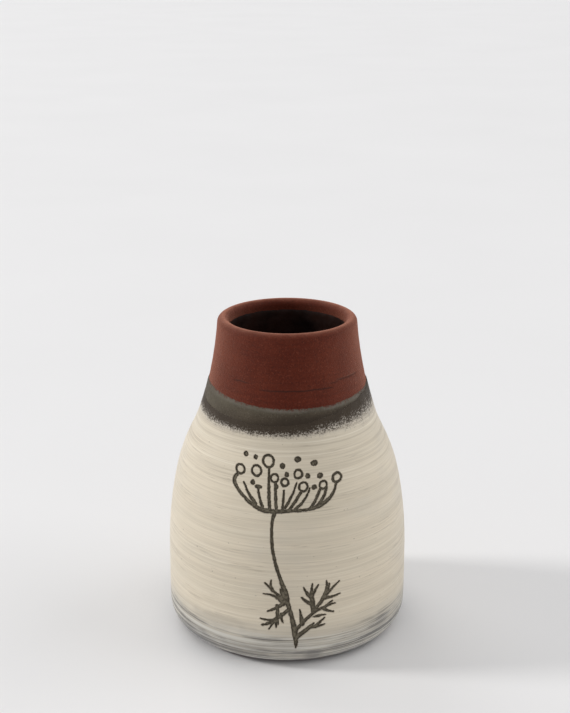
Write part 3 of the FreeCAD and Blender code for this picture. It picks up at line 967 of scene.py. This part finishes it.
def liner_finish():
    """Dark brown glaze."""
    finish = Finish("liner_glaze")
    cloud = finish.noise(0.08, 4.0, 0.6, seed=3.0)
    colour = finish.mix(finish.step(cloud, 0.3, 0.7), GLAZE_DARK, GLAZE_BROWN)
    finish.surface("Base Color", colour)
    finish.surface("Roughness", finish.step(finish.noise(0.3, 3.0), 0.3, 0.7, 0.32, 0.5))
    finish.surface("Specular IOR Level", 0.25)
    finish.bump(finish.noise(0.5, 3.0, 0.5, seed=5.0), 0.10)
    return finish.material


# Colours of the slip.
CREAM_DARK = (0.645, 0.569, 0.443)
CREAM = (0.702, 0.615, 0.479)
CREAM_CLOUD = (0.60, 0.545, 0.45)
STROKE_DARK = (0.45, 0.385, 0.295)
STROKE_PALE = (0.80, 0.73, 0.60)
FINE_LINE = (0.44, 0.375, 0.285)
WISP = (0.34, 0.28, 0.21)
CHALKY = (0.330, 0.314, 0.284)
CHALK_LINE = (0.68, 0.66, 0.60)
RUBBED = (0.122, 0.114, 0.106)
SMUDGE = (0.190, 0.177, 0.164)
# Colour of the very foot: partly dark undercoat, partly painted shade.
FOOT_UNDERCOAT_AND_SHADE = (0.075, 0.060, 0.046)
CUT_RIM = (0.30, 0.245, 0.175)
SPECK = (0.16, 0.12, 0.085)
DRY_HAZE = (0.30, 0.272, 0.258)
DRY_UNDER = (0.038, 0.026, 0.017)
SLIP_SHEEN = (0.8, 0.88, 1.0, 1)


def slip_finish():
    """Cream slip with brush strokes that carry some painted light and shade of their ridges, rubbed thin
    near the base, partly painted shade at the very foot, and broken into grains at its top edge.
    """
    finish = Finish("white_slip")
    z = finish.height()
    broad = finish.noise((0.012, 0.012, 0.16), 4.0, 0.6, seed=1.0)
    strokes = finish.noise((0.011, 0.011, 1.15), 4.0, 0.62, seed=2.0)
    fine = finish.noise((0.035, 0.035, 4.0), 3.0, 0.7, seed=7.0)
    cloud = finish.noise((0.03, 0.03, 0.05), 4.0, 0.6, seed=3.0)
    colour = finish.mix(finish.step(broad, 0.3, 0.7), CREAM_DARK, CREAM)
    colour = finish.mix(finish.step(cloud, 0.5, 0.75, 0.0, 0.5), colour, CREAM_CLOUD)
    # The brush streaks here are partly the slip's own colour and partly painted light and shade of the
    # stroke ridges, with more contrast higher up the body.
    strong = finish.step(z, 84.0, 102.0, 0.8, 1.5)
    dark = finish.times(finish.step(strokes, 0.48, 0.66, 0.0, 0.36), strong)
    colour = finish.mix(dark, colour, STROKE_DARK)
    light = finish.times(finish.step(strokes, 0.47, 0.33, 0.0, 0.45), strong)
    colour = finish.mix(light, colour, STROKE_PALE)
    colour = finish.mix(finish.step(fine, 0.50, 0.70, 0.0, 0.32), colour, FINE_LINE)
    wisps = finish.near(finish.noise((0.008, 0.008, 0.40), 3.0, 0.6, seed=23.0), 0.5, 0.016)
    wisps = finish.times(wisps, finish.step(finish.noise((0.02, 0.02, 0.12), 2.0, seed=24.0), 0.46, 0.60))
    colour = finish.mix(finish.times(wisps, 0.4), colour, WISP)
    low = finish.step(z, 26.0, 8.0)
    patch = finish.step(finish.noise((0.03, 0.03, 0.12), 3.0, 0.6, seed=12.0), 0.34, 0.66)
    chalky = finish.times(low, finish.plus(finish.times(patch, 0.3), 0.62))
    colour = finish.mix(chalky, colour, CHALKY)
    bright = finish.step(finish.noise((0.014, 0.014, 1.1), 4.0, 0.65, seed=10.0), 0.50, 0.58)
    colour = finish.mix(finish.times(finish.times(bright, low), 0.75), colour, CHALK_LINE)
    streak = finish.step(finish.noise((0.014, 0.014, 1.0), 5.0, 0.68, seed=11.0), 0.41, 0.59)
    thin = finish.plus(finish.times(streak, 0.95), finish.times(patch, 0.25))
    thin = finish.step(finish.plus(thin, finish.times(low, 0.62)), 1.20, 1.62, 0.0, 0.8)
    colour = finish.mix(thin, colour, RUBBED)
    smudge = finish.times(finish.field("smudge"), finish.step(streak, 0.0, 1.0, 0.55, 1.0))
    colour = finish.mix(smudge, colour, SMUDGE)
    # Darkest at the very foot: partly the dark undercoat where the slip ends, partly painted shade that
    # deepens the contact shadow under the corner.
    foot_undercoat_and_shade = finish.step(finish.plus(z, finish.times(streak, -1.0)), 2.0, 1.0)
    colour = finish.mix(foot_undercoat_and_shade, colour, FOOT_UNDERCOAT_AND_SHADE)
    rim = finish.step(finish.field("past_cut"), 0.03, 0.30, 0.65, 0.0)
    colour = finish.mix(rim, colour, CUT_RIM)
    speck = finish.step(finish.noise(0.55, 2.0, 0.6, seed=13.0), 0.73, 0.77)
    colour = finish.mix(finish.times(speck, 0.7), colour, SPECK)
    grains = finish.step(finish.noise((1.3, 1.3, 1.6), 4.0, 0.8, seed=17.0), 0.28, 0.72)
    patchy = finish.step(finish.noise((0.15, 0.15, 0.6), 3.0, 0.6, seed=18.0), 0.30, 0.70)
    spray = finish.plus(finish.times(grains, 0.85), finish.times(patchy, 0.15))
    bare = finish.times(finish.field("bare"), 1.8)
    bare = finish.step(finish.plus(bare, finish.times(spray, 1.5)), 1.2, 2.05)
    bare = finish.times(bare, finish.step(finish.field("bare"), 0.0, 0.55))
    haze = finish.times(finish.step(finish.field("bare"), 0.05, 0.75), 0.6)
    colour = finish.mix(haze, colour, DRY_HAZE)
    colour = finish.mix(bare, colour, finish.mix(0.65, engobe_colour(finish), DRY_UNDER))
    finish.surface("Base Color", colour)
    finish.surface("Roughness", finish.step(finish.noise(0.25, 3.0, seed=19.0), 0.3, 0.7, 0.5, 0.66))
    finish.surface("Specular IOR Level", finish.step(bare, 0.0, 1.0, 0.3, 0.15))
    finish.surface("Sheen Weight", finish.step(bare, 0.0, 1.0, 0.12, 0.0))
    finish.surface("Sheen Tint", SLIP_SHEEN)
    finish.bump(strokes, 0.06)
    finish.bump(fine, 0.03)
    finish.bump(finish.noise(1.5, 4.0, 0.65, seed=21.0), 0.05)
    return finish.material


clay_piece(clay_finish())
engobe_piece(engobe_finish())
liner_piece(liner_finish())
slip_piece(slip_finish())


FLOOR = 12.0  # half its width, in metres
FLOOR_DARK = (0.80, 0.785, 0.775)
FLOOR_PALE = (0.84, 0.825, 0.815)


def floor():
    """A plain pale table top."""
    finish = Finish("pale_floor")
    cloud = finish.noise(0.004, 3.0, 0.5)
    finish.surface("Base Color", finish.mix(cloud, FLOOR_DARK, FLOOR_PALE))
    finish.surface("Roughness", 0.7)
    corners = [(-FLOOR, -FLOOR, 0), (FLOOR, -FLOOR, 0), (FLOOR, FLOOR, 0), (-FLOOR, FLOOR, 0)]
    mesh = bpy.data.meshes.new("pale_floor")
    mesh.from_pydata(corners, [], [(0, 1, 2, 3)])
    mesh.materials.append(finish.material)
    made = bpy.data.objects.new("pale_floor", mesh)
    bpy.context.scene.collection.objects.link(made)


floor()


def window(name, toward, spread, strength):
    """Even light from the direction toward, as soft as a window that is spread degrees across."""
    data = bpy.data.lights.new(name, "SUN")
    data.angle = math.radians(spread)
    data.energy = strength
    lamp = bpy.data.objects.new(name, data)
    lamp.rotation_euler = Vector(toward).to_track_quat("Z", "Y").to_euler()
    bpy.context.scene.collection.objects.link(lamp)


window("window_left", (-1, 0.05, 0.5), 11, 1.5)
window("window_back", (-0.6, 1, 0.9), 40, 0.52)
window("window_right", (1, 0.1, 0.6), 60, 0.95)

# Even light from the rest of the room.
ROOM_COLOUR = (0.95, 0.97, 1.0, 1)
ROOM_STRENGTH = 0.57
world = bpy.data.worlds.new("pale_room")
world.use_nodes = True
background = world.node_tree.nodes["Background"]
background.inputs["Color"].default_value = ROOM_COLOUR
background.inputs["Strength"].default_value = ROOM_STRENGTH
bpy.context.scene.world = world
bpy.context.scene.view_settings.view_transform = "Standard"

# The camera stands in front, in metres, and looks down by 90 degrees less its tilt.
CAMERA_PLACE = (-0.00103, -0.5706, 0.3155)
CAMERA_TILT = 71.99
FOCAL_LENGTH = 65.64
SENSOR_WIDTH = 36.0
lens = bpy.data.cameras.new("camera")
lens.lens = FOCAL_LENGTH
lens.sensor_width = SENSOR_WIDTH
camera = bpy.data.objects.new("camera", lens)
camera.location = CAMERA_PLACE
camera.rotation_euler = (math.radians(CAMERA_TILT), 0, 0)
bpy.context.scene.collection.objects.link(camera)
bpy.context.scene.camera = camera
